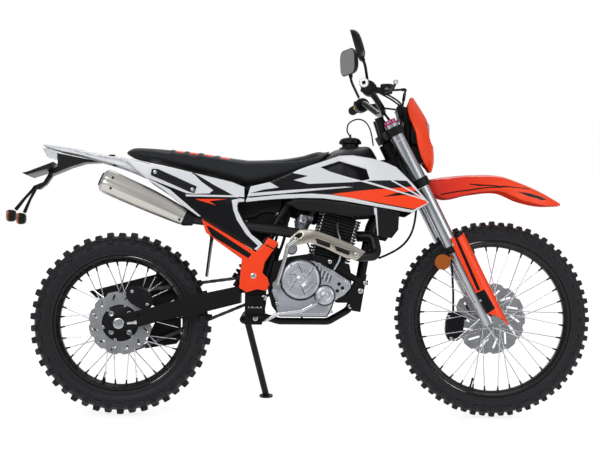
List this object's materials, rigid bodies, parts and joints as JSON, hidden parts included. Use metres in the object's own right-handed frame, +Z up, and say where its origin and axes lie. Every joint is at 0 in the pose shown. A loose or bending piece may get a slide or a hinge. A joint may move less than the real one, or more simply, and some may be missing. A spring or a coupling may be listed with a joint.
{
  "type": "dual sport motorcycle",
  "caption": "Dual sport motorcycle with knobbly tyres on wire wheels, tall fenders, a long flat seat and a side-exit muffler, leaning on its side stand.",
  "frame": {"origin": "centre of the bounding box at road level, with the machine leaning on its side stand", "axes": "+X towards the front wheel, +Y towards the rider's left, +Z up"},
  "size_m": [2.065, 0.8716, 1.37],
  "materials": {
    "tyre": "matte knobbly rubber",
    "black_rim": "satin black",
    "black_frame": "satin black paint",
    "silver_steel": "bright steel",
    "chain_steel": "oiled steel",
    "disc_steel": "machined",
    "cast_alloy": "fine cast silver",
    "dark_alloy": "satin black",
    "fork_alloy": "satin",
    "fork_chrome": "polished",
    "muffler_alloy": "satin",
    "pipe_steel": "dark heat-tinted",
    "shield_alloy": "champagne satin",
    "white_plastic": "gloss",
    "orange_plastic": "gloss red-orange",
    "fender_plastic": "gloss, red running to orange",
    "black_plastic": "fine grain",
    "tank_plastic": "satin",
    "seat_cover": "charcoal grained vinyl",
    "black_rubber": "matte",
    "lamp_lens": "clear",
    "amber_lens": "amber",
    "mirror_face": "polished"
  },
  "bodies": {
    "chassis": {"frame": "black_frame", "subframe": "black_frame", "frame_guards": "orange_plastic", "swingarm": "black_frame", "rear_axle": "silver_steel", "rear_caliper": "dark_alloy", "chain_guard": "black_plastic", "rear_shock": "dark_alloy", "chain": "chain_steel", "crankcase": "cast_alloy", "engine_covers": "cast_alloy", "cylinder": "dark_alloy", "intake": "black_plastic", "exhaust_pipe": "pipe_steel", "exhaust_shield": "shield_alloy", "muffler": "muffler_alloy", "kick_lever": "silver_steel", "footpegs": "dark_alloy", "pedals": "dark_alloy", "fuel_tank": "tank_plastic", "fuel_cap": "black_plastic", "seat": "seat_cover", "shrouds": "white_plastic", "lower_panels": "black_plastic", "side_panels": "white_plastic", "rear_fender": "white_plastic", "inner_fender": "black_plastic", "tail_lamp": "lamp_lens", "plate_bracket": "black_plastic", "rear_indicators": "amber_lens", "clutch_cable": "black_rubber"},
    "side_stand": {"side_stand": "black_frame"},
    "rear_wheel": {"rear_tyre": "tyre", "rear_rim": "black_rim", "rear_hub": "dark_alloy", "rear_disc": "disc_steel", "rear_sprocket": "chain_steel"},
    "steering": {"triple_clamps": "dark_alloy", "fork_tubes": "fork_alloy", "fork_sliders": "fork_chrome", "front_axle": "silver_steel", "fork_guards": "orange_plastic", "front_fender": "fender_plastic", "headlamp_mask": "orange_plastic", "headlamp": "lamp_lens", "handlebar": "silver_steel", "grips": "black_rubber", "controls": "black_plastic", "instrument": "black_plastic", "mirrors": "black_plastic", "mirror_glass": "mirror_face", "front_caliper": "dark_alloy", "brake_hose": "black_rubber", "reflectors": "amber_lens"},
    "front_wheel": {"front_tyre": "tyre", "front_rim": "black_rim", "front_hub": "silver_steel", "front_disc": "disc_steel"}
  },
  "joints": [
    {"name": "rear_wheel_spin", "type": "hinge", "parent": "chassis", "child": "rear_wheel", "pos_m": [-0.6355, -0.15386, 0.3205], "axis": [0, 0.9816, -0.1908], "continuous": true},
    {"name": "steering_turn", "type": "hinge", "parent": "chassis", "child": "steering", "pos_m": [0.62991, -0.1544, 0.31775], "axis": [-0.4462, 0.1708, 0.8785], "range_deg": [-40, 40]},
    {"name": "front_wheel_spin", "type": "hinge", "parent": "steering", "child": "front_wheel", "pos_m": [0.6845, -0.1492, 0.34447], "axis": [0, 0.9816, -0.1908], "continuous": true},
    {"name": "side_stand_swing", "type": "hinge", "parent": "chassis", "child": "side_stand", "pos_m": [-0.1955, -0.02962, 0.32029], "axis": [0.2376, 0.9276, 0.2884], "range_deg": [0, 113.6]}
  ]
}
